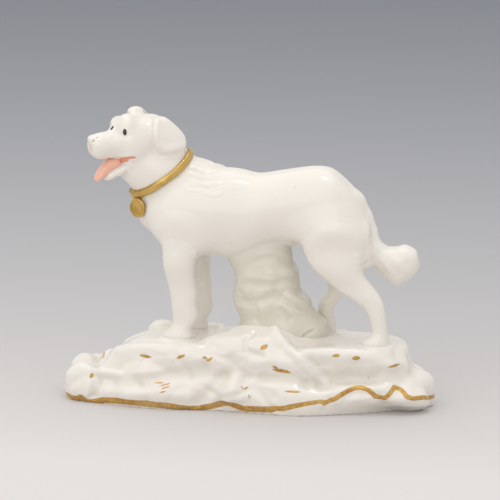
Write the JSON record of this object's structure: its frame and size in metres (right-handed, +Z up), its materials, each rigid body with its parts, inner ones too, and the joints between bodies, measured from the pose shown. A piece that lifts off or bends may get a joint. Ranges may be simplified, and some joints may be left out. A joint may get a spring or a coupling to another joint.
{
  "type": "porcelain dog figure",
  "caption": "White-glazed porcelain dog with an open mouth and turned head, gilt collar and locket, standing on a rocky gilt-edged mound; a mantelpiece ornament.",
  "frame": {"origin": "on the table under the middle of the mound", "axes": "+X along the mound towards the tail end, +Y away from the viewer towards the dog's right, +Z up"},
  "size_m": [0.1487, 0.0473, 0.1162],
  "materials": {
    "porcelain": "glossy warm-white glaze",
    "gilt": "burnished gilding over glaze",
    "tongue_glaze": "coral enamel over glaze"
  },
  "bodies": {
    "root": {"base_mound": "porcelain", "rock_support": "porcelain", "body": "porcelain", "head": "porcelain", "lower_jaw": "porcelain", "tongue": "tongue_glaze", "left_ear": "porcelain", "right_ear": "porcelain", "front_left_leg": "porcelain", "front_right_leg": "porcelain", "hind_left_leg": "porcelain", "hind_right_leg": "porcelain", "tail": "porcelain", "collar_band": "gilt", "locket_ring": "gilt", "locket": "gilt"}
  },
  "joints": []
}
